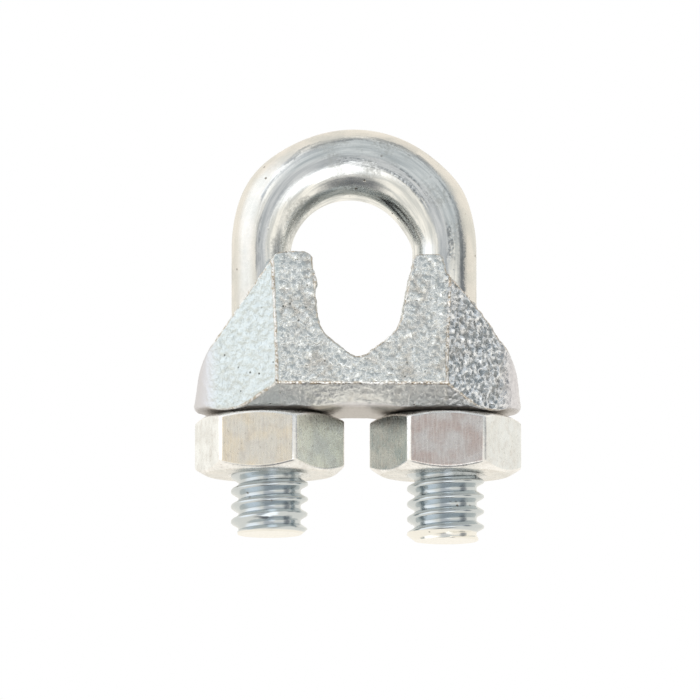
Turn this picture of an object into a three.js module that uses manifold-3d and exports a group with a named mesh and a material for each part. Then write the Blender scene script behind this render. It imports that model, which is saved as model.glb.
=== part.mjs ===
// Wire rope clip for 3/16 in rope: a threaded U-bolt, a cast saddle and two hex nuts.
//
// Millimetres. X runs from leg to leg, Y along the rope, and Z up through the bow.
// The origin is on the floor of the rope groove, midway between the legs.

import * as THREE from "three";
import { mergeVertices } from "three/addons/utils/BufferGeometryUtils.js";
import Module from "manifold-3d";

const wasm = await Module();
wasm.setup();

// Threads: 1/4-20 UNC, right-hand, rolled on rod of about the pitch diameter.
const PITCH = 1.27;
const MAJOR_RADIUS = 3.25;
const MINOR_RADIUS = 2.42;
const OUTSIDE_THREAD = MAJOR_RADIUS + 0.02;
const CREST_WIDTH = PITCH / 8;
const ROOT_WIDTH = PITCH / 4;
const NUT_CLEARANCE = 0.15;
const SIDES_PER_TURN = 18;
const FACE_CHAMFER_ANGLE = Math.PI / 6;

// U-bolt. The bow leans a little to the left of its legs.
const LEG_X = 7.35;
const ROD_RADIUS = 2.75;
const BOW = { x: -0.28, z: 9.55, radius: 7.5 };
const LEG_BEND = { from: 0, to: 4.5 };
const THREAD_TOP = 0.9;
const RUN_OUT = 0.9;
const END_RADIUS = 2.65;
const END_CHAMFER = 0.5;
const LEGS = {
  left: { x: -LEG_X, end: -14.4, crestAtPlusX: -10.165 },
  right: { x: LEG_X, end: -14.9, crestAtPlusX: -9.905 },
};
const ROD_SEGMENTS = 11;
const BOW_STEPS = 40;

// Saddle.
const BASE = -4.5;
const HORN_TOP = 8.5;
const HALF_DEPTH = 6.5;
const HORN_HALF_DEPTH = 6.25;
const FRONT_HALF_WIDTH = 6.95;
const END_X = 13.7;
const END_RADIUS_IN_PLAN = 4.27;
const WING_ANGLE = THREE.MathUtils.degToRad(32.6);
const RIDGE = -2.4;
const BEVEL_FOOT = { y: 4.9, z: -4.15 };
const BEARING_HALF_DEPTH = 4.2;
const HOLE = { x: 7.45, radius: 3.5 };
const NOTCH_HALF_WIDTH = ROD_RADIUS + 0.3;
const NOTCH_BOTTOM = 3.4;
const CORNER_SEGMENTS = 6;

// Nuts: 7/16 in across flats, about 3/16 in thick.
const ACROSS_FLATS = 11.11;
const NUT_HEIGHT = 4.9;
const NUT_FACE_RADIUS = 5.28;
const NUT_TOP = BASE - 0.05;
const COUNTERSINK_DEPTH = 0.9;
const NUT_TURNS = {
  left: THREE.MathUtils.degToRad(-11.7),
  right: THREE.MathUtils.degToRad(-0.7),
};

// A closed three.js geometry as a manifold-3d solid.
function toSolid(geometry) {
  geometry.deleteAttribute("normal");
  geometry.deleteAttribute("uv");
  const merged = mergeVertices(geometry, 1e-5);
  const corners = merged.index.array;
  const kept = [];
  for (let i = 0; i < corners.length; i += 3) {
    const [a, b, c] = corners.slice(i, i + 3);
    if (a !== b && b !== c && c !== a) {
      kept.push(a, b, c);
    }
  }
  const mesh = new wasm.Mesh({
    numProp: 3,
    vertProperties: new Float32Array(merged.attributes.position.array),
    triVerts: new Uint32Array(kept),
  });
  return new wasm.Manifold(mesh);
}

function toGeometry(solid) {
  const mesh = solid.getMesh();
  const geometry = new THREE.BufferGeometry();
  geometry.setAttribute("position", new THREE.BufferAttribute(mesh.vertProperties, 3));
  geometry.setIndex(new THREE.BufferAttribute(mesh.triVerts, 1));
  geometry.computeVertexNormals();
  return geometry;
}

// A solid of revolution about Z, from [radius, z] points listed upwards from axis to axis.
function turned(points, x = 0) {
  const profile = points.map(([radius, z]) => new THREE.Vector2(radius, z));
  const geometry = new THREE.LatheGeometry(profile, 2 * SIDES_PER_TURN);
  geometry.rotateX(Math.PI / 2);
  geometry.translate(x, 0, 0);
  return toSolid(geometry);
}

// A flat outline pushed out along the third axis, equally to both sides of zero.
function extruded(shape, halfDepth, alongU, alongV, alongDepth, curveSegments = CORNER_SEGMENTS) {
  const geometry = new THREE.ExtrudeGeometry(shape, {
    depth: 2 * halfDepth,
    bevelEnabled: false,
    curveSegments,
  });
  geometry.translate(0, 0, -halfDepth);
  geometry.applyMatrix4(new THREE.Matrix4().makeBasis(alongU, alongV, alongDepth));
  return toSolid(geometry);
}

const X = new THREE.Vector3(1, 0, 0);
const Y = new THREE.Vector3(0, 1, 0);
const Z = new THREE.Vector3(0, 0, 1);

// A right-hand 60 degree thread about Z as one closed solid, from root to root past both heights.
// crestAtPlusX is the height of one crest where the thread crosses the +X side.
function threadSolid(low, high, crestAtPlusX, growth = 0) {
  const flank = (PITCH - CREST_WIDTH - ROOT_WIDTH) / 2;
  const rows = [
    [MINOR_RADIUS + growth, -CREST_WIDTH / 2 - flank],
    [MAJOR_RADIUS + growth, -CREST_WIDTH / 2],
    [MAJOR_RADIUS + growth, CREST_WIDTH / 2],
    [MINOR_RADIUS + growth, CREST_WIDTH / 2 + flank],
  ];
  const firstTurn = Math.floor((low - crestAtPlusX) / PITCH) - 2;
  const lastTurn = Math.ceil((high - crestAtPlusX) / PITCH) + 1;
  const columns = (lastTurn - firstTurn) * SIDES_PER_TURN;
  const start = crestAtPlusX + firstTurn * PITCH;

  const positions = [];
  const addPoint = (radius, angle, z) =>
    positions.push(radius * Math.cos(angle), radius * Math.sin(angle), z) / 3 - 1;
  const index = [];
  for (let column = 0; column <= columns; column++) {
    const angle = (2 * Math.PI * column) / SIDES_PER_TURN;
    const rise = start + (PITCH * column) / SIDES_PER_TURN;
    index.push(rows.map(([radius, z]) => addPoint(radius, angle, rise + z)));
  }

  // The root flat joins the top of one turn to the bottom of the next.
  const at = (column, row) =>
    row < rows.length ? index[column][row] : index[column + SIDES_PER_TURN][0];
  const triangles = [];
  const addQuad = (column, row) => {
    const a = at(column, row);
    const b = at(column + 1, row);
    const c = at(column + 1, row + 1);
    const d = at(column, row + 1);
    triangles.push(a, b, c, a, c, d);
  };
  const lastStart = columns - SIDES_PER_TURN;
  for (let column = 0; column < columns; column++) {
    const wrapped = column < lastStart;
    for (let row = 0; row < (wrapped ? rows.length : rows.length - 1); row++) {
      addQuad(column, row);
    }
  }

  // Both ends are fans from a point on the axis to the open edge.
  const addFan = (loop, z) => {
    const centre = addPoint(0, 0, z);
    loop.forEach((from, i) => triangles.push(loop[(i + 1) % loop.length], from, centre));
  };
  const bottom = [];
  for (let column = 0; column < SIDES_PER_TURN; column++) {
    bottom.push(at(column, 0));
  }
  bottom.push(at(0, 4), at(0, 3), at(0, 2), at(0, 1));
  addFan(bottom, start - PITCH);
  const top = [at(columns, 0), at(columns, 1), at(columns, 2)];
  for (let column = columns; column > lastStart; column--) {
    top.push(at(column, 3));
  }
  top.push(at(lastStart, 3));
  addFan(top, start + (PITCH * columns) / SIDES_PER_TURN + PITCH);

  const geometry = new THREE.BufferGeometry();
  geometry.setAttribute("position", new THREE.Float32BufferAttribute(positions, 3));
  geometry.setIndex(triangles);
  return toSolid(geometry);
}

// The rod's centreline: up the left leg, over the bow and down the right leg.
class BowLine extends THREE.Curve {
  constructor(bottom) {
    super();
    this.bottom = bottom;
    this.leg = BOW.z - bottom;
    this.arc = Math.PI * BOW.radius;
  }

  // The legs stand at LEG_X below the saddle and meet the bow's ends above it.
  legX(z, legX, bowX) {
    const blend = THREE.MathUtils.smoothstep(z, LEG_BEND.from, LEG_BEND.to);
    return THREE.MathUtils.lerp(legX, bowX, blend);
  }

  getPoint(t, target = new THREE.Vector3()) {
    const along = t * (2 * this.leg + this.arc);
    if (along < this.leg) {
      const z = this.bottom + along;
      return target.set(this.legX(z, -LEG_X, BOW.x - BOW.radius), 0, z);
    }
    if (along > this.leg + this.arc) {
      const z = BOW.z - (along - this.leg - this.arc);
      return target.set(this.legX(z, LEG_X, BOW.x + BOW.radius), 0, z);
    }
    const angle = Math.PI - (along - this.leg) / BOW.radius;
    const x = BOW.x + BOW.radius * Math.cos(angle);
    return target.set(x, 0, BOW.z + BOW.radius * Math.sin(angle));
  }
}

function threadedEnd(leg) {
  const envelope = turned([
    [0, leg.end],
    [END_RADIUS, leg.end],
    [OUTSIDE_THREAD, leg.end + END_CHAMFER],
    [OUTSIDE_THREAD, THREAD_TOP - RUN_OUT],
    [MINOR_RADIUS, THREAD_TOP],
    [0, THREAD_TOP],
  ]);
  const thread = threadSolid(leg.end, THREAD_TOP, leg.crestAtPlusX);
  return thread.intersect(envelope).translate([leg.x, 0, 0]);
}

function uBolt() {
  const section = new THREE.Shape();
  section.absarc(0, 0, ROD_RADIUS, 0, 2 * Math.PI);
  const geometry = new THREE.ExtrudeGeometry(section, {
    steps: BOW_STEPS,
    curveSegments: ROD_SEGMENTS,
    extrudePath: new BowLine(THREAD_TOP - RUN_OUT),
  });
  const rod = toSolid(geometry);
  return rod.add(threadedEnd(LEGS.left)).add(threadedEnd(LEGS.right));
}

// The saddle seen along the rope: groove, horns, sloping shoulders and rounded ends.
function saddleFront() {
  const half = new THREE.Path();
  half.moveTo(0.35, 0);
  half.lineTo(2.3, 1.4);
  half.quadraticCurveTo(3.3, 2.1, 3.48, 3.4);
  half.lineTo(4.04, 7.9);
  half.quadraticCurveTo(4.1, HORN_TOP, 4.7, HORN_TOP);
  half.lineTo(6.5, HORN_TOP);
  half.quadraticCurveTo(7, HORN_TOP, 7.35, 7.8);
  half.lineTo(12.7, 0.6);
  half.quadraticCurveTo(13.5, -0.6, 13.6, -2.2);
  half.lineTo(END_X, -4);
  half.quadraticCurveTo(END_X, BASE, 13.1, BASE);
  const right = half.getPoints(CORNER_SEGMENTS);
  const left = right.map(({ x, y }) => new THREE.Vector2(-x, y)).reverse();
  return new THREE.Shape([...right, ...left]);
}

// The saddle seen from above: a flat front and back, swept wings and round ends.
function saddlePlan() {
  const shape = new THREE.Shape();
  const centre = END_X - END_RADIUS_IN_PLAN;
  const sweep = Math.PI / 2 - WING_ANGLE;
  shape.moveTo(-FRONT_HALF_WIDTH, -HALF_DEPTH);
  shape.lineTo(FRONT_HALF_WIDTH, -HALF_DEPTH);
  shape.absarc(centre, 0, END_RADIUS_IN_PLAN, -sweep, sweep);
  shape.lineTo(FRONT_HALF_WIDTH, HALF_DEPTH);
  shape.lineTo(-FRONT_HALF_WIDTH, HALF_DEPTH);
  shape.absarc(-centre, 0, END_RADIUS_IN_PLAN, Math.PI - sweep, Math.PI + sweep);
  shape.closePath();
  return shape;
}

// The saddle seen from its end: drafted horns over a block bevelled towards the nuts.
function saddleSide() {
  const half = [
    [BEARING_HALF_DEPTH, BASE],
    [BEVEL_FOOT.y, BEVEL_FOOT.z],
    [HALF_DEPTH, RIDGE],
    [HALF_DEPTH, 0],
    [HORN_HALF_DEPTH, HORN_TOP],
  ];
  const points = half.map(([y, z]) => new THREE.Vector2(y, z));
  const mirrored = half.map(([y, z]) => new THREE.Vector2(-y, z));
  return new THREE.Shape([...points, ...mirrored.reverse()]);
}

function saddle() {
  const overHeight = HORN_TOP + 5;
  const front = extruded(saddleFront(), HALF_DEPTH + 1, X, Z, Y.clone().negate());
  const plan = extruded(saddlePlan(), overHeight, X, Y, Z, 14);
  const side = extruded(saddleSide(), END_X + 1, Y, Z, X);
  let body = front.intersect(plan).intersect(side);

  const holeRing = [
    [0, BASE - 1],
    [HOLE.radius, BASE - 1],
    [HOLE.radius, overHeight],
    [0, overHeight],
  ];
  body = body.subtract(turned(holeRing, HOLE.x)).subtract(turned(holeRing, -HOLE.x));

  // Above the rope seat the hole opens into the groove, as wide as the rod needs.
  const notch = new THREE.Shape();
  const notchCentre = NOTCH_BOTTOM + NOTCH_HALF_WIDTH;
  notch.moveTo(NOTCH_HALF_WIDTH, overHeight);
  notch.lineTo(-NOTCH_HALF_WIDTH, overHeight);
  notch.absarc(0, notchCentre, NOTCH_HALF_WIDTH, Math.PI, 2 * Math.PI);
  notch.closePath();
  return body.subtract(extruded(notch, HOLE.x, Y, Z, X, 16));
}

// A nut hung from its top face at z = 0, threaded to match its leg.
function nut(leg, turn) {
  const corners = [];
  for (let i = 0; i < 6; i++) {
    const angle = (i * Math.PI) / 3;
    const reach = ACROSS_FLATS / Math.sqrt(3);
    corners.push(new THREE.Vector2(reach * Math.cos(angle), reach * Math.sin(angle)));
  }
  const block = extruded(new THREE.Shape(corners), NUT_HEIGHT / 2, X, Y, Z);

  const cornerRadius = ACROSS_FLATS / Math.sqrt(3) + 0.1;
  const fall = (cornerRadius - NUT_FACE_RADIUS) * Math.tan(FACE_CHAMFER_ANGLE);
  const envelope = turned([
    [0, -NUT_HEIGHT],
    [NUT_FACE_RADIUS, -NUT_HEIGHT],
    [cornerRadius, fall - NUT_HEIGHT],
    [cornerRadius, -fall],
    [NUT_FACE_RADIUS, 0],
    [0, 0],
  ]);

  const crest = leg.crestAtPlusX + (PITCH * turn) / (2 * Math.PI) - NUT_TOP;
  const mouth = MAJOR_RADIUS + NUT_CLEARANCE + 0.1;
  const thread = threadSolid(-NUT_HEIGHT, 0, crest, NUT_CLEARANCE);
  const countersinks = turned([
    [0, -NUT_HEIGHT - 0.5],
    [mouth, -NUT_HEIGHT - 0.5],
    [mouth, -NUT_HEIGHT],
    [MINOR_RADIUS, COUNTERSINK_DEPTH - NUT_HEIGHT],
    [MINOR_RADIUS, -COUNTERSINK_DEPTH],
    [mouth, 0],
    [mouth, 0.5],
    [0, 0.5],
  ]);
  return block
    .translate([0, 0, -NUT_HEIGHT / 2])
    .intersect(envelope)
    .subtract(thread)
    .subtract(countersinks);
}

function finish(color, roughness, metalness) {
  return new THREE.MeshStandardMaterial({ color, roughness, metalness });
}

function named(name, solid, material) {
  const mesh = new THREE.Mesh(toGeometry(solid), material);
  mesh.name = name;
  return mesh;
}

const brightZinc = finish(0xc4c8c8, 0.28, 1);
const castZinc = finish(0xb9bcba, 0.55, 0.9);
const nutZinc = finish(0xc9c3b8, 0.38, 1);

const clip = new THREE.Group();
clip.add(named("u_bolt", uBolt(), brightZinc));
clip.add(named("saddle", saddle(), castZinc));
for (const side of ["left", "right"]) {
  const mesh = named(`nut_${side}`, nut(LEGS[side], NUT_TURNS[side]), nutZinc);
  mesh.position.set(LEGS[side].x, 0, NUT_TOP);
  mesh.rotation.z = NUT_TURNS[side];
  clip.add(mesh);
}

export default clip;
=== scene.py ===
"""Wire rope clip: a zinc-plated U-bolt, a sand-cast saddle and two hex nuts, on a pale floor.

Pieces are modelled in millimetres and brought to metres when they are finished.
X runs from leg to leg, Y along the rope, and Z up through the bow.
"""

import math

import bmesh
import bpy
from mathutils import Matrix, Vector, kdtree


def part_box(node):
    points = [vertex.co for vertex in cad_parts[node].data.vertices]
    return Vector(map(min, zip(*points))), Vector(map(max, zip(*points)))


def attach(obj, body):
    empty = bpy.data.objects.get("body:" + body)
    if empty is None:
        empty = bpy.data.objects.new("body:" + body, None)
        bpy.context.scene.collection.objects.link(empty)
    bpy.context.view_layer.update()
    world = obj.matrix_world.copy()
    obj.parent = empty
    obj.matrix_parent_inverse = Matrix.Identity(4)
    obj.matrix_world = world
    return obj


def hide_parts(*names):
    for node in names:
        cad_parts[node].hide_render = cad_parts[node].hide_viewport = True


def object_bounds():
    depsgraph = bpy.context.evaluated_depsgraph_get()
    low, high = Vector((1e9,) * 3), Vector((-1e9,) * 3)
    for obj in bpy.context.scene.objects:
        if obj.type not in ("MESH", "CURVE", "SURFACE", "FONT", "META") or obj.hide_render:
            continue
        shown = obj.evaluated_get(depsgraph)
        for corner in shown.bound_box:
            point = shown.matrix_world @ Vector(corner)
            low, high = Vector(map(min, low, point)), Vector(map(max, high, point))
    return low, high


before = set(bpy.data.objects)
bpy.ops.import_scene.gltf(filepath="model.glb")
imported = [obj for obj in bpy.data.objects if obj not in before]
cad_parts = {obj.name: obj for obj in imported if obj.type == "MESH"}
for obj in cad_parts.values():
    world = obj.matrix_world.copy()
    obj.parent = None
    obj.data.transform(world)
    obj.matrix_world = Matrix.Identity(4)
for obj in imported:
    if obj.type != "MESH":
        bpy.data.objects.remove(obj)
cad_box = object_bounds()

MM = 0.001

# Sizes in millimetres, read from the frame.
U_BOLT_LOW, U_BOLT_HIGH = [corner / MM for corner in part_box("u_bolt")]
SADDLE_LOW, SADDLE_HIGH = [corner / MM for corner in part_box("saddle")]
NUT_LOW, NUT_HIGH = [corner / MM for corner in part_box("nut_right")]

# Thread: 1/4-20, right-hand.
PITCH = 1.27
MAJOR = 3.22
MINOR = 2.6
LEG_X = 7.35
THREAD_TOP = 0.9
RUN_OUT = 0.9
LEG_END = {"left": -14.4, "right": U_BOLT_LOW.z}
CREST_AT_PLUS_X = {"left": -10.165, "right": -9.905}
END_RADIUS = 2.65
END_CHAMFER = 0.5

# Rod and bow.
ROD = 2.75
BOW_RADIUS = 7.5
BOW_X = -0.28
BOW_Z = U_BOLT_HIGH.z - BOW_RADIUS - ROD
# The inside of the bow is a circle of its own.
INNER_X = -0.63
INNER_Z = 8.8
INNER_RADIUS = 5.0

# Saddle.
BASE = SADDLE_LOW.z
HORN_TOP = SADDLE_HIGH.z
LEFT_HORN_TOP = HORN_TOP + 0.2
END_X = SADDLE_HIGH.x
HALF_DEPTH = SADDLE_HIGH.y
HOLE_X = 7.45
HOLE_RADIUS = 3.5
FRONT_LEFT = -6.9       # the flat front face, between the wings
FRONT_RIGHT = 7.3
END_ROUNDING = 4.27
BEVEL_TOP = -2.45
NOTCH_BOTTOM = 3.4
NOTCH_HALF_WIDTH = ROD + 0.3
CLEAR_ABOVE = 15        # a height over the horns, where cutting tools end
VOXEL = 0.14

# Nuts.
ACROSS_FLATS = 11.11
NUT_TOP = NUT_HIGH.z
NUT_HEIGHT = NUT_HIGH.z - NUT_LOW.z
NUT_FACE_RADIUS = 5.28
NUT_CORNER = 0.34
NUT_EDGE = 0.17
THREAD_GAP = 0.07
SINK_DEPTH = 0.8
NUT_TURN = {"left": math.radians(-11.7), "right": math.radians(-0.7)}
SIDE_X = {"left": -LEG_X, "right": LEG_X}

# Camera: degrees round from the front and up, metres away, and what it looks at, in
# millimetres above the origin and then left and up in the picture.
VIEW_AZIMUTH = -1.5
VIEW_ELEVATION = -7.3
VIEW_DISTANCE = 0.8
LOOK_AT_Z = 1.0
LOOK_LEFT = 0.628
LOOK_UP = 0.147
LENS_MM = 491.7
SENSOR_MM = 36

# Floor, in metres.
FLOOR_SIZE = 40
FLOOR_GAP = 0.0001


# ---------------------------------------------------------------- handling meshes

def take(piece):
    """Makes the piece the only selected object, and the active one."""
    bpy.ops.object.select_all(action="DESELECT")
    piece.select_set(True)
    bpy.context.view_layer.objects.active = piece
    return piece


def mode(name):
    """Goes into object or edit mode."""
    bpy.ops.object.mode_set(mode=name)


def pick(piece, kind, test):
    """Selects the vertices, edges or faces that pass the test, and stays in edit mode."""
    mode("EDIT")
    bpy.ops.mesh.select_mode(type=kind)
    bpy.ops.mesh.select_all(action="DESELECT")
    mode("OBJECT")
    mesh = piece.data
    elements = {"VERT": mesh.vertices, "EDGE": mesh.edges, "FACE": mesh.polygons}[kind]
    for element in elements:
        element.select = test(element)
    mode("EDIT")


def modify(piece, kind, **settings):
    """Adds a modifier with its settings and applies it."""
    take(piece)
    modifier = piece.modifiers.new(kind.title(), kind)
    for name, value in settings.items():
        setattr(modifier, name, value)
    bpy.ops.object.modifier_apply(modifier=modifier.name)


def combine(piece, tool, operation):
    """Joins, cuts or crops the piece with a tool piece, and closes the cut's tiny gaps."""
    modify(piece, "BOOLEAN", object=tool, operation=operation, solver="EXACT")
    bpy.data.objects.remove(tool)
    mode("EDIT")
    bpy.ops.mesh.select_all(action="SELECT")
    bpy.ops.mesh.remove_doubles(threshold=0.0008)
    mode("OBJECT")
    return piece


def reshape(piece, move):
    """Moves every vertex to the place that move gives for it."""
    for vertex in piece.data.vertices:
        vertex.co = move(vertex.co.copy())
    piece.data.update()


def draw(name, points):
    """Draws a chain of edges point by point, from a plane merged to a single vertex."""
    bpy.ops.object.select_all(action="DESELECT")
    bpy.ops.mesh.primitive_plane_add(size=1, location=(0, 0, 0))
    piece = bpy.context.object
    piece.name = name
    mode("EDIT")
    bpy.ops.mesh.select_mode(type="VERT")
    bpy.ops.mesh.merge(type="CENTER")
    bpy.ops.transform.translate(value=points[0])
    for here, there in zip(points, points[1:]):
        step = [b - a for a, b in zip(here, there)]
        bpy.ops.mesh.extrude_vertices_move(TRANSFORM_OT_translate={"value": step})
    bpy.ops.mesh.select_all(action="SELECT")
    return piece


def outline(name, points, roundings, depth, place):
    """Draws an outline side by side, rounds its corners, fills it and extrudes it both ways.

    place turns the flat outline's own X and Y, and the extrusion's Z, into the frame's axes.
    """
    piece = draw(name, [(x, y, -depth) for x, y in points])
    bpy.ops.mesh.edge_face_add()
    for (x, y), radius in roundings.items():
        corner = Vector((x, y, -depth))
        pick(piece, "VERT", lambda v: (v.co - corner).length < 0.02)
        bpy.ops.mesh.bevel(affect="VERTICES", offset=radius, segments=6)
    bpy.ops.mesh.select_all(action="SELECT")
    bpy.ops.mesh.extrude_region_move(TRANSFORM_OT_translate={"value": (0, 0, 2 * depth)})
    bpy.ops.mesh.select_all(action="SELECT")
    bpy.ops.mesh.normals_make_consistent(inside=False)
    mode("OBJECT")
    piece.data.transform(place)
    return piece


def turned(name, profile, centre_x, sides=96):
    """Spins an open profile of (radius, z) points, from axis to axis, about an upright axis."""
    piece = draw(name, [(radius, 0, z) for radius, z in profile])
    bpy.ops.mesh.spin(steps=sides, angle=2 * math.pi, center=(0, 0, 0), axis=(0, 0, 1))
    bpy.ops.mesh.select_all(action="SELECT")
    bpy.ops.mesh.remove_doubles(threshold=0.001)
    bpy.ops.mesh.normals_make_consistent(inside=False)
    mode("OBJECT")
    piece.data.transform(Matrix.Translation((centre_x, 0, 0)))
    return piece


def finish_piece(piece, body, node, material, smooth_angle=30):
    """Brings a piece from millimetres to metres, gives it body and finish, hides its CAD part."""
    take(piece)
    piece.data.transform(Matrix.Scale(MM, 4))
    piece.data.materials.clear()
    piece.data.materials.append(material)
    bpy.ops.object.shade_smooth_by_angle(angle=math.radians(smooth_angle))
    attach(piece, body)
    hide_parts(node)
    return piece


XZ_OUTLINE = Matrix(((1, 0, 0, 0), (0, 0, -1, 0), (0, 1, 0, 0), (0, 0, 0, 1)))
XY_OUTLINE = Matrix.Identity(4)
YZ_OUTLINE = Matrix(((0, 0, 1, 0), (1, 0, 0, 0), (0, 1, 0, 0), (0, 0, 0, 1)))


# ---------------------------------------------------------------- threads

def thread_stud(name, side, low, high, growth=0.0):
    """A closed threaded rod about the leg's axis, from one turn of the profile by a Screw."""
    turns = math.ceil((high - low) / PITCH) + 4
    crest = CREST_AT_PLUS_X[side]
    first_crest = crest + PITCH * (math.floor((low - crest) / PITCH) - 1)
    half_turn = [
        (MINOR, PITCH / 2),
        (MINOR + 0.01, 0.40 * PITCH),
        (MINOR + 0.09, 0.33 * PITCH),
        (MAJOR - 0.1, 0.145 * PITCH),
        (MAJOR - 0.02, 0.09 * PITCH),
        (MAJOR, 0.04 * PITCH),
    ]
    profile = [(r, -z) for r, z in half_turn] + [(r, z) for r, z in reversed(half_turn)]

    piece = draw(name, [(radius + growth, 0, z + first_crest) for radius, z in profile])
    mode("OBJECT")
    modify(piece, "SCREW", axis="Z", angle=2 * math.pi, screw_offset=PITCH,
           iterations=turns, steps=72, render_steps=72, use_merge_vertices=True,
           merge_threshold=0.0005)
    mode("EDIT")
    bpy.ops.mesh.select_all(action="SELECT")
    bpy.ops.mesh.remove_doubles(threshold=0.002)
    for height, keep_above in ((low, True), (high, False)):
        bpy.ops.mesh.select_all(action="SELECT")
        bpy.ops.mesh.bisect(plane_co=(0, 0, height), plane_no=(0, 0, 1), use_fill=True,
                            clear_inner=keep_above, clear_outer=not keep_above)
    bpy.ops.mesh.select_all(action="SELECT")
    bpy.ops.mesh.normals_make_consistent(inside=False)
    mode("OBJECT")
    piece.data.transform(Matrix.Translation((SIDE_X[side], 0, 0)))
    return piece


def point_the_end(piece, side):
    """Holds the thread inside the chamfer at the leg's end and its run-out at the top."""
    centre = Vector((SIDE_X[side], 0, 0))
    end = LEG_END[side]

    def move(co):
        flat = Vector((co.x - centre.x, co.y, 0))
        at_end = END_RADIUS + (co.z - end) * (MAJOR + 0.02 - END_RADIUS) / END_CHAMFER
        at_top = MINOR + (THREAD_TOP - co.z) * (MAJOR - MINOR) / RUN_OUT
        limit = min(at_end, at_top)
        if flat.length > limit:
            flat *= limit / flat.length
        return Vector((centre.x + flat.x, flat.y, co.z))

    reshape(piece, move)


# ---------------------------------------------------------------- U-bolt

def ease(x, low, high):
    """A smooth step from 0 at low to 1 at high."""
    t = min(max((x - low) / (high - low), 0), 1)
    return t * t * (3 - 2 * t)


def bell(angle, middle, spread):
    """A smooth bump over an angle, with its middle and spread in degrees."""
    return math.exp(-((math.degrees(angle) - middle) / spread) ** 2)


def bent_rod():
    """The rod, extruded up one leg, spun over the bow and extruded down the other leg."""
    bpy.ops.object.select_all(action="DESELECT")
    bpy.ops.mesh.primitive_circle_add(vertices=64, radius=ROD, fill_type="NGON",
                                      location=(-LEG_X, 0, 0))
    rod = bpy.context.object
    rod.name = "u_bolt_fine"
    bpy.ops.object.transform_apply(location=True)
    steps = 14
    rise = BOW_Z / steps

    def leg_x(z, leg, bow):
        return leg + (bow - leg) * ease(z, 0, 4.5)

    mode("EDIT")
    bpy.ops.mesh.select_all(action="SELECT")
    for i in range(steps):
        shift = leg_x((i + 1) * rise, -LEG_X, BOW_X - BOW_RADIUS)
        shift -= leg_x(i * rise, -LEG_X, BOW_X - BOW_RADIUS)
        bpy.ops.mesh.extrude_region_move(TRANSFORM_OT_translate={"value": (shift, 0, rise)})
    bpy.ops.mesh.spin(steps=72, angle=math.pi, center=(BOW_X, 0, BOW_Z), axis=(0, -1, 0))
    for i in reversed(range(steps)):
        shift = leg_x(i * rise, LEG_X, BOW_X + BOW_RADIUS)
        shift -= leg_x((i + 1) * rise, LEG_X, BOW_X + BOW_RADIUS)
        bpy.ops.mesh.extrude_region_move(TRANSFORM_OT_translate={"value": (shift, 0, -rise)})
    bpy.ops.mesh.select_all(action="SELECT")
    bpy.ops.mesh.remove_doubles(threshold=0.001)
    bpy.ops.mesh.normals_make_consistent(inside=False)
    mode("OBJECT")
    return rod


def bow_section(co):
    """Draws the rod's inner side in over the crown, thins both legs and fills the shoulders."""
    angle = math.atan2(max(co.z - BOW_Z, 0), co.x - BOW_X)
    outward = Vector((math.cos(angle), 0, math.sin(angle)))
    if co.z < BOW_Z:
        outward = Vector((math.copysign(1, co.x - BOW_X), 0, 0))
        reach = abs(co.x - BOW_X)
    else:
        reach = math.hypot(co.x - BOW_X, co.z - BOW_Z)
    offset = Vector((INNER_X - BOW_X, 0, INNER_Z - BOW_Z))
    along = outward.dot(offset)
    inner = along + math.sqrt(along ** 2 - offset.length_squared + INNER_RADIUS ** 2)
    inner += 0.28 * bell(angle, 0, 18)
    outer = BOW_RADIUS + ROD
    shoulder = outer + 0.35 * bell(angle, 145, 20) + 0.2 * bell(angle, 30, 13)
    thickness = (shoulder - inner) / (2 * ROD)
    thickness = 1 + (thickness - 1) * ease(co.z, 2.5, BOW_Z)
    moved = shoulder - (outer - reach) * thickness
    return co + outward * (moved - reach)


def lay_of_the_rod(piece):
    """Stores, for each vertex, its place along the bent rod and across it, in metres."""
    lay = piece.data.attributes.new("lay", "FLOAT_VECTOR", "POINT")
    for vertex, value in zip(piece.data.vertices, lay.data):
        x, y, z = vertex.co
        if z > BOW_Z:
            angle = math.atan2(z - BOW_Z, x - BOW_X)
            along = BOW_RADIUS * (math.pi / 2 - angle)
            across = math.hypot(x - BOW_X, z - BOW_Z) - BOW_RADIUS
        else:
            side = math.copysign(1, x - BOW_X)
            along = side * (BOW_RADIUS * math.pi / 2 + BOW_Z - z)
            across = abs(x - BOW_X) - BOW_RADIUS
        value.vector = (along * MM, across * MM, y * MM)


def smear_thread(stud):
    """The left leg's last turn is struck flat at its front right, as if it had been dropped."""
    centre = Vector((SIDE_X["left"], 0, 0))
    struck = Vector((0.75, -1, 0)).normalized()
    struck_radius = 2.93

    def move(co):
        flat = Vector((co.x - centre.x, co.y, 0))
        if flat.length < 1:
            return co
        facing = flat.normalized().dot(struck)
        share = ease(facing, 0.35, 0.9) * ease(-co.z, 12.3, 13.1) * ease(co.z, -14.25, -13.6)
        flat *= 1 + share * (min(flat.length, struck_radius) / flat.length - 1)
        return Vector((centre.x + flat.x, flat.y, co.z))

    reshape(stud, move)


def u_bolt(material):
    """The bent rod with both threads, as one piece."""
    bolt = bent_rod()
    reshape(bolt, bow_section)
    for side in ("left", "right"):
        stud = thread_stud("stud", side, LEG_END[side], THREAD_TOP)
        point_the_end(stud, side)
        if side == "left":
            smear_thread(stud)
        combine(bolt, stud, "UNION")
    lay_of_the_rod(bolt)
    return finish_piece(bolt, "u_bolt", "u_bolt", material, 35)


# ---------------------------------------------------------------- nuts

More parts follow.
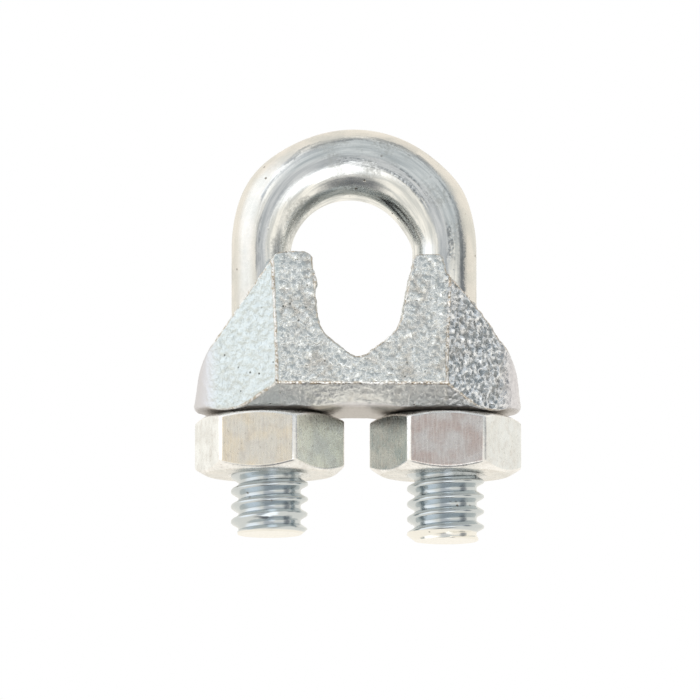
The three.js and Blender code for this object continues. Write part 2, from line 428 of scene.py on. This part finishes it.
def nut(side, material):
    """A hex nut with rounded corners, a chamfer on both faces and a tapped bore."""
    corner_radius = ACROSS_FLATS / math.sqrt(3) + 0.02
    bpy.ops.object.select_all(action="DESELECT")
    bpy.ops.mesh.primitive_cylinder_add(
        vertices=6, radius=corner_radius, depth=NUT_HEIGHT,
        location=(0, 0, NUT_TOP - NUT_HEIGHT / 2), rotation=(0, 0, math.radians(30)))
    piece = bpy.context.object
    piece.name = f"nut_{side}_fine"
    bpy.ops.object.transform_apply(location=True, rotation=True)
    pick(piece, "EDGE", lambda e: upright(piece, e))
    bpy.ops.mesh.bevel(offset=NUT_CORNER, segments=6, affect="EDGES")
    mode("OBJECT")

    reach = corner_radius + 0.1
    bottom_fall = (reach - NUT_FACE_RADIUS) * math.tan(math.radians(30))
    top_fall = (reach - NUT_FACE_RADIUS) * math.tan(math.radians(23))
    bottom = NUT_TOP - NUT_HEIGHT
    combine(piece, turned("chamfer", [
        (0, bottom), (NUT_FACE_RADIUS, bottom), (reach, bottom + bottom_fall),
        (reach, NUT_TOP - top_fall), (NUT_FACE_RADIUS, NUT_TOP), (0, NUT_TOP)], 0), "INTERSECT")
    modify(piece, "BEVEL", width=NUT_EDGE, segments=4, limit_method="ANGLE",
           angle_limit=math.radians(24))
    piece.data.transform(Matrix.Rotation(NUT_TURN[side], 4, "Z"))
    piece.data.transform(Matrix.Translation((SIDE_X[side], 0, 0)))

    mouth = MAJOR + 0.25
    stud = thread_stud("tapped_hole", side, bottom - 1, NUT_TOP + 1, growth=THREAD_GAP)
    combine(piece, stud, "DIFFERENCE")
    for face, inward in ((bottom, 1), (NUT_TOP, -1)):
        deepest = face + SINK_DEPTH * inward
        sink = turned("countersink", [
            (0, face - inward), (mouth + 0.05, face - inward), (mouth, face),
            (MINOR, deepest), (0, deepest)], SIDE_X[side])
        combine(piece, sink, "DIFFERENCE")
    paint_face_light(piece, side)
    finish_piece(piece, f"nut_{side}", f"nut_{side}", material, 35)
    modify(piece, "WEIGHTED_NORMAL", weight=90, keep_sharp=True)
    return piece


def paint_face_light(piece, side):
    """Stores painted light and reflection: a lit or shaded colour for each face of the nut."""
    # Painted light: pale on the flat ends, a white painted highlight on the corners and chamfers,
    # and one plain colour on the back faces.
    back, end_face_light, corner = "#F1EFE9", "#EFEEEA", "#FFFFFF"
    # Painted light and reflection: each seen side face gets the lit or shaded colour of what it
    # mirrors.
    face_light_colours = {
        "left": {-60: "#F9FDFF", 0: "#EDE3D0", 60: "#FFFFF0"},
        "right": {-60: "#B3BFC3", 0: "#C9BAB4", 60: "#EAEFF2"},
    }[side]
    layer = piece.data.attributes.new("painted_face_light", "FLOAT_COLOR", "FACE")
    for face, value in zip(piece.data.polygons, layer.data):
        colour = end_face_light if abs(face.normal.z) > 0.9 else corner
        if abs(face.normal.z) < 0.2:
            turn = math.degrees(math.atan2(face.normal.x, -face.normal.y) - NUT_TURN[side])
            turn = (turn + 90) % 360 - 90
            for middle in range(-60, 241, 60):
                if abs(turn - middle) < 14:
                    colour = face_light_colours.get(middle, back)
        value.color = linear(colour)


def upright(piece, edge):
    """Whether an edge of the piece stands straight up."""
    a, b = (piece.data.vertices[i].co for i in edge.vertices)
    return abs(a.x - b.x) + abs(a.y - b.y) < 0.01


# ---------------------------------------------------------------- saddle

def saddle_front():
    """The saddle seen along the rope: a groove between two horns, and sloping wings.

    A sand casting's two sides are never quite alike, so each has its own corners.
    """
    right = [
        ((0.3, -0.12), 0.2), ((3.32, 2.15), 1.3), ((3.86, 5.2), 1.5), ((4.56, HORN_TOP), 0.45),
        ((6.95, HORN_TOP), 0.4), ((7.25, 7.0), 0.3), ((10.15, 4.0), 1.5), ((13.15, -0.1), 1.4),
        ((END_X + 0.05, BASE), 0.5),
    ]
    left = [
        ((-0.5, -0.1), 0.2), ((-3.35, 2.1), 1.2), ((-3.95, LEFT_HORN_TOP), 0.7),
        ((-6.85, LEFT_HORN_TOP), 0.6),
        ((-13.15, -0.1), 1.4), ((-END_X - 0.05, BASE), 0.5),
    ]
    corners = right + left[::-1]
    return outline("front", [point for point, _ in corners], dict(corners),
                   HALF_DEPTH + 1, XZ_OUTLINE)


def saddle_plan():
    """The saddle from above: flat front and back, slanted wings and rounded ends."""
    sweep = math.radians(57.4)
    right = END_X - END_ROUNDING
    points = []
    for centre, half_turn, faces in (
            (right, 0, [(FRONT_RIGHT, HALF_DEPTH), (FRONT_LEFT, HALF_DEPTH)]),
            (-right, math.pi, [(FRONT_LEFT, -HALF_DEPTH), (FRONT_RIGHT, -HALF_DEPTH)])):
        for i in range(25):
            angle = half_turn + sweep * (i / 12 - 1)
            points.append((centre + END_ROUNDING * math.cos(angle),
                           END_ROUNDING * math.sin(angle)))
        points += faces
    return outline("plan", points, {}, 20, XY_OUTLINE)


def saddle_side():
    """The saddle seen from leg to leg: upright faces over a bevel at the bottom."""
    points = [
        (3.4, BASE), (4.3, BASE + 0.1), (4.9, BASE + 0.38), (HALF_DEPTH, BEVEL_TOP),
        (HALF_DEPTH, 0), (HALF_DEPTH - 0.25, LEFT_HORN_TOP + 0.1),
    ]
    points += [(-y, z) for y, z in reversed(points)]
    return outline("side", points, {}, END_X + 1, YZ_OUTLINE)


def rod_notch():
    """The U-shaped opening through both horns, which lets the bent rod stand in them."""
    half, centre = NOTCH_HALF_WIDTH, NOTCH_BOTTOM + NOTCH_HALF_WIDTH
    arc = [math.pi * (1 + i / 16) for i in range(17)]
    points = [(-half, CLEAR_ABOVE)]
    points += [(half * math.cos(a), centre + half * math.sin(a)) for a in arc]
    points += [(half, CLEAR_ABOVE)]
    return outline("notch", points, {}, HOLE_X, YZ_OUTLINE)


def saddle(material):
    """The casting: three outlines crossed, cut for the legs, then remeshed and roughened."""
    piece = saddle_front()
    piece.name = "saddle_fine"
    combine(piece, saddle_plan(), "INTERSECT")
    combine(piece, saddle_side(), "INTERSECT")
    below = BASE - 2
    for x in (-HOLE_X, HOLE_X):
        hole = turned("hole", [(0, below), (HOLE_RADIUS, below), (HOLE_RADIUS, CLEAR_ABOVE),
                               (0, CLEAR_ABOVE)], x)
        combine(piece, hole, "DIFFERENCE")
    combine(piece, rod_notch(), "DIFFERENCE")

    ridges = sharp_edge_points(piece)
    modify(piece, "REMESH", mode="VOXEL", voxel_size=VOXEL)
    modify(piece, "SMOOTH", factor=0.5, iterations=4)
    reshape(piece, lift_underside)
    reshape(piece, cast_lump)
    cast_grain(piece, ridges)
    return finish_piece(piece, "saddle", "saddle", material, 180)


def lift_underside(co):
    """Lifts the underside a little between the nuts and at both ends."""
    lift = 0.3 * (1 - ease(abs(co.x), 0.8, 3.6)) + 0.42 * ease(abs(co.x), 10.8, 13.2)
    return co + Vector((0, 0, lift * ease(-co.z, 3.1, 4.3)))


def cast_lump(co):
    """A small lump on the left horn, at the groove's front edge."""
    middle = Vector((-3.7, -HALF_DEPTH + 0.5, 6.15))
    height, spread = 0.24, 0.75
    return co + Vector((height * math.exp(-((co - middle).length / spread) ** 2), 0, 0))


def sharp_edge_points(piece, apart=0.15):
    """Points along the edges where two faces of a piece meet at over 22 degrees."""
    shape = bmesh.new()
    shape.from_mesh(piece.data)
    points = []
    for edge in shape.edges:
        if len(edge.link_faces) == 2 and edge.calc_face_angle() > math.radians(22):
            start, end = (v.co.copy() for v in edge.verts)
            count = max(1, round((end - start).length / apart))
            points += [start.lerp(end, i / count) for i in range(count + 1)]
    shape.free()
    tree = kdtree.KDTree(len(points))
    for i, point in enumerate(points):
        tree.insert(point, i)
    tree.balance()
    return tree


def cast_grain(piece, ridges):
    """Raises the mould's sand grain and stores, for the finish, where it and the edges are.

    The left wing came out smoothest and the right wing roughest. The ends, the underside
    and the leg holes are nearly smooth.
    """
    mesh = piece.data
    group = piece.vertex_groups.new(name="grain")
    edges = []
    sand = []
    coarse = []
    bevels = []
    for vertex in mesh.vertices:
        co, normal = vertex.co, vertex.normal
        edge = math.exp(-(ridges.find(co)[2] / 0.17) ** 2)
        ends = 1 - ease(abs(co.x), 11.5, 13.1)
        under = 1 - ease(-normal.z, 0.8, 0.95) * ease(-co.z, 3.6, 4.1)
        inside = ease(math.hypot(abs(co.x) - HOLE_X, co.y), HOLE_RADIUS + 0.05, HOLE_RADIUS + 0.3)
        side = 0.62 + 0.38 * ease(co.x, 6.9, 7.4) - 0.2 * ease(-co.x, 6.4, 6.9)
        bevels.append(ease(-normal.z, 0.3, 0.5))
        side *= 1 - 0.4 * bevels[-1]
        edges.append(edge)
        sand.append(0.12 + 0.88 * ends * under * inside)
        coarse.append(sand[-1] * side * (1 - 0.5 * edge))
        group.add([vertex.index], coarse[-1], "REPLACE")
    before = [vertex.co.copy() for vertex in mesh.vertices]
    normals = [vertex.normal.copy() for vertex in mesh.vertices]

    lumps = bpy.data.textures.new("sand lumps", "VORONOI")
    lumps.noise_scale = 0.6
    lumps.noise_intensity = 1.3
    pores = bpy.data.textures.new("sand pores", "CLOUDS")
    pores.noise_scale = 0.3
    pores.noise_depth = 2
    for texture, strength, level in ((lumps, -0.24, 0.3), (pores, 0.2, 0.5)):
        modify(piece, "DISPLACE", texture=texture, strength=strength, mid_level=level,
               texture_coords="LOCAL", direction="NORMAL", vertex_group="grain")
    keep_in_box(piece)
    piece.vertex_groups.clear()

    mesh = piece.data
    heights = [(vertex.co - old).dot(normal)
               for vertex, old, normal in zip(mesh.vertices, before, normals)]
    layers = {
        "edge": edges,
        "sand": sand,
        "grain": coarse,
        "bevel": bevels,
        "hollow": [ease(-height, 0.0, 0.1) for height in heights],
    }
    for name, values in layers.items():
        mesh.attributes.new(name, "FLOAT", "POINT")
        mesh.attributes[name].data.foreach_set("value", values)


def keep_in_box(piece):
    """Holds the grain inside the saddle's own size."""
    def move(co):
        return Vector((min(max(co.x, -END_X), END_X), min(max(co.y, -HALF_DEPTH), HALF_DEPTH),
                       max(co.z, BASE)))

    reshape(piece, move)


# ---------------------------------------------------------------- materials

def linear(code):
    """An sRGB hex colour as linear RGBA."""
    channels = [int(code[i:i + 2], 16) / 255 for i in (1, 3, 5)]
    return [c / 12.92 if c <= 0.04045 else ((c + 0.055) / 1.055) ** 2.4 for c in channels] + [1]


def add(tree, kind, inputs=(), **settings):
    """Adds a node, with its settings, and fills or links each named input."""
    node = tree.nodes.new("ShaderNode" + kind)
    for name, value in settings.items():
        setattr(node, name, value)
    for name, value in dict(inputs).items():
        if isinstance(value, bpy.types.NodeSocket):
            tree.links.new(value, node.inputs[name])
        else:
            node.inputs[name].default_value = value
    return node


def ramp(tree, source, low, high, to_low=0.0, to_high=1.0):
    """A smooth step of a value from one level to another."""
    return add(tree, "MapRange", {
        "Value": source, "From Min": low, "From Max": high, "To Min": to_low, "To Max": to_high,
    }, interpolation_type="SMOOTHSTEP").outputs[0]


def blend(tree, factor, first, second):
    """Colour that goes from the first to the second as the factor rises."""
    return add(tree, "Mix", {0: factor, 6: first, 7: second}, data_type="RGBA").outputs[2]


def band(tree, value, low_mm, high_mm, soft_mm):
    """1 between two lengths, falling to 0 over soft_mm outside them."""
    rise = ramp(tree, value, (low_mm - soft_mm) * MM, low_mm * MM)
    fall = ramp(tree, value, (high_mm + soft_mm) * MM, high_mm * MM)
    return times(tree, rise, fall)


def times(tree, first, second):
    """Two values multiplied."""
    return add(tree, "Math", {0: first, 1: second}, operation="MULTIPLY").outputs[0]


def plus(tree, first, second):
    """Two values added."""
    return add(tree, "Math", {0: first, 1: second}, operation="ADD").outputs[0]


def grain(tree, where, size_mm, detail=2.0, kind="Noise"):
    """A pattern whose features are about size_mm across."""
    inputs = {"Vector": where, "Scale": 1 / (size_mm * MM)}
    if kind == "Noise":
        inputs["Detail"] = detail
    return add(tree, "Tex" + kind, inputs).outputs[0]


def new_material(name):
    """A material with no nodes yet, and its node tree."""
    material = bpy.data.materials.new(name)
    material.use_nodes = True
    material.node_tree.nodes.clear()
    return material, material.node_tree


def metal_surface(tree, colour, roughness, height, depth_mm):
    """Ends a metal's nodes: colour, roughness, and a height pattern depth_mm deep."""
    bump = add(tree, "Bump", {"Height": height, "Distance": depth_mm * MM, "Strength": 1.0})
    shader = add(tree, "BsdfPrincipled", {
        "Base Color": colour, "Metallic": 1.0, "Roughness": roughness,
        "Normal": bump.outputs["Normal"]})
    add(tree, "OutputMaterial", {"Surface": shader.outputs[0]})


def bright_zinc_rod():
    """Bright zinc electroplate on cold-drawn steel rod, bent in a die.

    It gives a near-mirror with a soft bloom, drawn lines that follow the bend, dull patches
    where the die rubbed, a duller outer side carrying a painted pale reflection of the tent,
    edged by a thin painted dark reflection, and a few small pits.
    """
    material, tree = new_material("bright zinc-plated drawn steel")
    where = add(tree, "TexCoord").outputs["Object"]
    lay = add(tree, "Attribute", attribute_name="lay").outputs["Vector"]
    along = add(tree, "Mapping", {"Vector": lay, "Scale": (0.09, 1.0, 1.0)}).outputs[0]
    place = add(tree, "SeparateXYZ", {"Vector": lay}).outputs
    clear_of_thread = times(tree, ramp(tree, place["X"], -23 * MM, -22 * MM),
                            ramp(tree, place["X"], 23 * MM, 22 * MM))
    streaks = grain(tree, along, 0.35, 3.0)
    streaks = times(tree, streaks, ramp(tree, clear_of_thread, 0, 1, 0.25, 1))
    patches = ramp(tree, grain(tree, where, 3.2, 3.0), 0.48, 0.68)
    patches = times(tree, patches, ramp(tree, clear_of_thread, 0, 1, 0.3, 1))
    bloom = grain(tree, where, 0.22, 4.0)
    drift = grain(tree, where, 2.0, 3.0)
    pits = ramp(tree, grain(tree, where, 1.1, kind="Voronoi"), 0.13, 0.05)
    pit_choice = ramp(tree, grain(tree, where, 2.3, 1.0), 0.5, 0.62)
    pits = times(tree, pits, pit_choice)
    front = ramp(tree, place["Z"], 0.5 * MM, -0.5 * MM)
    crown_rub = times(tree, band(tree, place["X"], -0.5, 7.0, 1.5),
                      band(tree, place["Y"], -0.7, 0.0, 0.3))
    leg_rub = times(tree, band(tree, place["X"], 10.3, 12.6, 0.7),
                    band(tree, place["Y"], 0.25, 0.75, 0.2))
    rub = times(tree, front, plus(tree, crown_rub, leg_rub))
    rub = times(tree, rub, ramp(tree, streaks, 0.42, 0.62))
    colour = blend(tree, ramp(tree, streaks, 0.32, 0.68), linear("#F6F7F5"), linear("#CDD1D2"))
    colour = blend(tree, times(tree, patches, ramp(tree, bloom, 0.35, 0.65)), colour,
                   linear("#C6C8C6"))
    colour = blend(tree, times(tree, rub, ramp(tree, bloom, 0.4, 0.6)), colour,
                   linear("#989C9F"))
    colour = blend(tree, clear_of_thread, linear("#CCD3D7"), colour)

    # Painted reflection: a pale band on the outer side stands in for the tent's reflection.
    # It comes further in on the left leg than over the crown, and a thin painted dark
    # reflection edges it.
    limit = plus(tree, ramp(tree, place["X"], -13 * MM, -3 * MM, 0.75 * MM, 1.9 * MM),
                 ramp(tree, place["X"], 4 * MM, 12 * MM, 0, -0.3 * MM))
    beyond = plus(tree, place["Y"], times(tree, limit, -1.0))
    beyond = plus(tree, beyond, ramp(tree, bloom, 0.2, 0.8, -0.1 * MM, 0.1 * MM))
    beyond = plus(tree, beyond, ramp(tree, drift, 0.25, 0.75, -0.15 * MM, 0.15 * MM))
    outer = times(tree, clear_of_thread, ramp(tree, beyond, -0.1 * MM, 0.12 * MM))
    painted_tent_reflection = blend(tree, ramp(tree, drift, 0.4, 0.65), linear("#E9E6E0"), linear("#DBDBD6"))
    colour = blend(tree, times(tree, outer, 0.85), colour, painted_tent_reflection)
    painted_dark_reflection = times(tree, clear_of_thread, band(tree, beyond, -0.2, -0.05, 0.2))
    colour = blend(tree, times(tree, painted_dark_reflection, ramp(tree, streaks, 0.35, 0.6, 0.15, 0.6)), colour,
                   linear("#8C9195"))

    # The cropped ends are paler.
    rod_end = ramp(tree, add(tree, "SeparateXYZ", {"Vector": where}).outputs["Z"],
                   -14.15 * MM, -14.3 * MM)
    colour = blend(tree, rod_end, colour, linear("#F3F2ED"))
    colour = blend(tree, pits, colour, linear("#88827A"))

    roughness = plus(tree, ramp(tree, patches, 0, 1, 0.15, 0.3),
                     ramp(tree, bloom, 0.3, 0.7, -0.03, 0.06))
    roughness = plus(tree, roughness, times(tree, outer, 0.14))
    bloom_height = times(tree, bloom, ramp(tree, clear_of_thread, 0, 1, 0.12, 0.35))
    height = plus(tree, times(tree, streaks, 0.5),
                  plus(tree, bloom_height, times(tree, pits, -1.5)))
    height = plus(tree, height, times(tree, times(tree, rub, bloom), 2.0))
    metal_surface(tree, colour, roughness, height, 0.014)
    return material


def plated_nut():
    """Zinc plate with a thin chromate passivate on a cold-formed steel nut.

    It gives satin faces, each with its own painted light and reflection drifting over it,
    a fine upright wipe from the forming die, and small specks.
    """
    material, tree = new_material("zinc plate with clear passivate on steel")
    where = add(tree, "TexCoord").outputs["Object"]
    painted_face_light = add(tree, "Attribute", attribute_name="painted_face_light").outputs["Color"]
    upright_grain = add(tree, "Mapping", {"Vector": where, "Scale": (1, 1, 0.12)}).outputs[0]
    wipe = grain(tree, upright_grain, 0.16, 3.0)
    drift = grain(tree, where, 1.7, 4.0)
    speck = grain(tree, where, 0.18, 4.0)
    cloud = grain(tree, where, 0.7, 3.0)
    # The per-face colour it starts from is painted light and reflection.
    colour = blend(tree, ramp(tree, drift, 0.38, 0.66, 0, 0.6), painted_face_light, linear("#DFE1E0"))
    colour = blend(tree, ramp(tree, cloud, 0.45, 0.75, 0, 0.35), colour, linear("#BDB4AE"))
    colour = blend(tree, ramp(tree, wipe, 0.35, 0.8, 0, 0.4), colour, linear("#F4F3F0"))
    colour = blend(tree, ramp(tree, speck, 0.6, 0.75, 0, 0.45), colour, linear("#938B80"))
    roughness = ramp(tree, speck, 0.3, 0.7, 0.24, 0.38)
    height = plus(tree, times(tree, wipe, 0.5), times(tree, speck, 0.5))
    metal_surface(tree, colour, roughness, height, 0.016)
    return material


def plated_casting():
    """Zinc plate over sand-cast malleable iron.

    It gives a sparkling, bumpy grain left by the mould sand, with painted highlights on its
    bumps and painted shade in its dips, a painted lighter bevel, a painted darker underside,
    smooth ends, brown stain along the edges and in the hollows with painted highlights on
    the edges' high spots, and dark pinholes.
    """
    material, tree = new_material("zinc-plated sand-cast malleable iron")
    where = add(tree, "TexCoord").outputs["Object"]
    edge = add(tree, "Attribute", attribute_name="edge").outputs["Fac"]
    sand = add(tree, "Attribute", attribute_name="sand").outputs["Fac"]
    rough = add(tree, "Attribute", attribute_name="grain").outputs["Fac"]
    low = add(tree, "Attribute", attribute_name="hollow").outputs["Fac"]
    place = add(tree, "SeparateXYZ", {"Vector": where}).outputs
    left_wing = ramp(tree, place["X"], -6.5 * MM, -6.8 * MM)
    right_wing = ramp(tree, place["X"], 7.1 * MM, 7.5 * MM)
    coarse = grain(tree, where, 0.55, 3.0)
    beads = ramp(tree, grain(tree, where, 0.36, 3.0), 0.36, 0.62)
    fine = grain(tree, where, 0.2, 4.0)
    drift = grain(tree, where, 3.0, 2.0)
    pinholes = ramp(tree, grain(tree, where, 0.9, kind="Voronoi"), 0.12, 0.03)
    pinholes = times(tree, pinholes, times(tree, sand, ramp(tree, drift, 0.45, 0.6)))

    # Painted highlight on the grain's bumps and painted shade in its dips, strongest on the
    # rough right wing.
    pale = blend(tree, beads, linear("#C3C9CB"), linear("#E8ECEC"))
    dark = blend(tree, beads, linear("#939CA3"), linear("#F4F9FF"))
    colour = blend(tree, right_wing, pale, dark)
    wing = blend(tree, ramp(tree, fine, 0.35, 0.65), linear("#CCD6D8"), linear("#E0E9EA"))
    colour = blend(tree, times(tree, left_wing, 0.85), colour, wing)
    bevel = add(tree, "Attribute", attribute_name="bevel").outputs["Fac"]
    # Painted light: the downward-facing bevel band is lightened towards white.
    colour = blend(tree, times(tree, bevel, 0.45), colour, linear("#FFFFFF"))
    colour = blend(tree, sand, linear("#DAD9DF"), colour)

    # Painted shade: the smooth underside is coloured a little darker than the ends.
    below = ramp(tree, place["Z"], -3.9 * MM, -4.25 * MM)
    colour = blend(tree, times(tree, below, ramp(tree, sand, 0.3, 0.6, 1, 0)), colour,
                   linear("#B6B1AD"))

    # Brown stain follows the edges and hollows, and the edges' high spots get a painted white
    # highlight.
    edge = times(tree, edge, ramp(tree, sand, 0.2, 0.8, 0.1, 1))
    stain = times(tree, ramp(tree, edge, 0.15, 0.7), ramp(tree, coarse, 0.35, 0.6, 0.15, 0.85))
    colour = blend(tree, stain, colour, linear("#B4A288"))
    painted_edge_glint = times(tree, ramp(tree, edge, 0.45, 0.85), ramp(tree, fine, 0.42, 0.56))
    colour = blend(tree, painted_edge_glint, colour, linear("#FFFFFF"))
    brown = times(tree, times(tree, low, rough), ramp(tree, drift, 0.4, 0.65, 0.1, 0.7))
    wings = plus(tree, left_wing, right_wing)
    brown = times(tree, brown, ramp(tree, wings, 0, 1, 1, 0.35))
    colour = blend(tree, brown, colour, linear("#A89A88"))
    colour = blend(tree, pinholes, colour, linear("#4C463F"))

    roughness = plus(tree, ramp(tree, fine, 0.3, 0.7, 0.17, 0.32), times(tree, left_wing, 0.13))
    roughness = plus(tree, roughness, times(tree, bevel, 0.12))
    height = plus(tree, times(tree, beads, times(tree, rough, 0.8)),
                  plus(tree, times(tree, fine, ramp(tree, rough, 0, 1, 0.06, 0.45)),
                       times(tree, pinholes, -1.0)))
    metal_surface(tree, colour, roughness, height, 0.09)
    return material


# ---------------------------------------------------------------- stage

def bearing(azimuth, elevation):
    """A direction: azimuth in degrees from the front towards +X, elevation above level."""
    a, e = math.radians(azimuth), math.radians(elevation)
    return Vector((math.sin(a) * math.cos(e), -math.cos(a) * math.cos(e), math.sin(e)))


def add_camera():
    """A long lens, slightly under the clip and a little to its left."""
    back = bearing(VIEW_AZIMUTH, VIEW_ELEVATION)
    turn = math.radians(VIEW_AZIMUTH)
    right = Vector((math.cos(turn), math.sin(turn), 0))
    target = Vector((0, 0, LOOK_AT_Z * MM)) - right * LOOK_LEFT * MM
    target += back.cross(right) * LOOK_UP * MM
    data = bpy.data.cameras.new("camera")
    data.sensor_width = SENSOR_MM
    data.lens = LENS_MM
    data.clip_start = 0.05
    camera = bpy.data.objects.new("camera", data)
    bpy.context.scene.collection.objects.link(camera)
    camera.location = target + back * VIEW_DISTANCE
    camera.rotation_euler = (-back).to_track_quat("-Z", "Y").to_euler()
    bpy.context.scene.camera = camera


def add_floor():
    """White paper, clear from below, because the camera looks up past its edge.

    The metal doesn't mirror it, as the reflections are set by the studio around it.
    """
    bpy.ops.object.select_all(action="DESELECT")
    bpy.ops.mesh.primitive_plane_add(size=FLOOR_SIZE,
                                     location=(0, 0, cad_box[0][2] - FLOOR_GAP))
    floor = bpy.context.object
    floor.name = "floor"
    floor.visible_glossy = False
    material, tree = new_material("matt white paper")
    paper = add(tree, "BsdfDiffuse", {"Color": linear("#F4F4F2")})
    clear = add(tree, "BsdfTransparent")
    geometry = add(tree, "NewGeometry")
    mix = add(tree, "MixShader", {
        0: geometry.outputs["Backfacing"], 1: paper.outputs[0], 2: clear.outputs[0]})
    add(tree, "OutputMaterial", {"Surface": mix.outputs[0]})
    floor.data.materials.append(material)


def add_studio():
    """A bright tent with a grey room beyond its opening, in front and to the right."""
    world = bpy.data.worlds.new("studio")
    bpy.context.scene.world = world
    world.use_nodes = True
    tree = world.node_tree
    tree.nodes.clear()
    direction = add(tree, "TexCoord").outputs["Generated"]
    height = add(tree, "SeparateXYZ", {"Vector": direction}).outputs["Z"]

    def cone(azimuth, elevation, inner, outer):
        """1 within inner degrees of a bearing, 0 beyond outer degrees."""
        near = add(tree, "VectorMath", {0: direction, 1: bearing(azimuth, elevation)},
                   operation="DOT_PRODUCT").outputs["Value"]
        return ramp(tree, near, math.cos(math.radians(outer)), math.cos(math.radians(inner)))

    # The tent, the grey room seen through its opening, and the opening's darker rim.
    light = blend(tree, cone(0, 90, 10, 90), (1.03, 0.985, 0.9, 1), (1.04, 0.985, 0.9, 1))
    room = times(tree, cone(27, 42, 38, 50), ramp(tree, height, 0.1, 0.24))
    light = blend(tree, room, light, (0.66, 0.69, 0.7, 1))
    light = blend(tree, cone(-4, 9, 14, 24), light, (0.64, 0.65, 0.66, 1))
    rim = times(tree, cone(27, 42, 42, 46), ramp(tree, cone(27, 42, 36, 42), 0, 1, 1, 0))
    light = blend(tree, times(tree, rim, ramp(tree, height, 0.4, 0.8)), light,
                  (0.4, 0.41, 0.42, 1))

    # A dark gap to the right and a dark table below, then a low lamp and a left one.
    light = blend(tree, cone(68, 8, 7, 19), light, (0.3, 0.31, 0.32, 1))
    light = blend(tree, cone(0, -62, 12, 32), light, (0.2, 0.205, 0.215, 1))
    light = blend(tree, cone(10, -17, 8, 22), light, (1.7, 1.7, 1.7, 1))
    light = blend(tree, cone(-70, 30, 15, 45), light, (1.35, 1.37, 1.4, 1))

    seen = add(tree, "Background", {"Color": (1, 1, 1, 1)})
    studio = add(tree, "Background", {"Color": light})
    path = add(tree, "LightPath")
    mix = add(tree, "MixShader", {
        0: path.outputs["Is Camera Ray"], 1: studio.outputs[0], 2: seen.outputs[0]})
    add(tree, "OutputWorld", {"Surface": mix.outputs[0]})


bpy.context.scene.view_settings.view_transform = "Standard"
add_camera()
add_floor()
add_studio()

u_bolt(bright_zinc_rod())
saddle(plated_casting())
nut_plate = plated_nut()
nut("left", nut_plate)
nut("right", nut_plate)
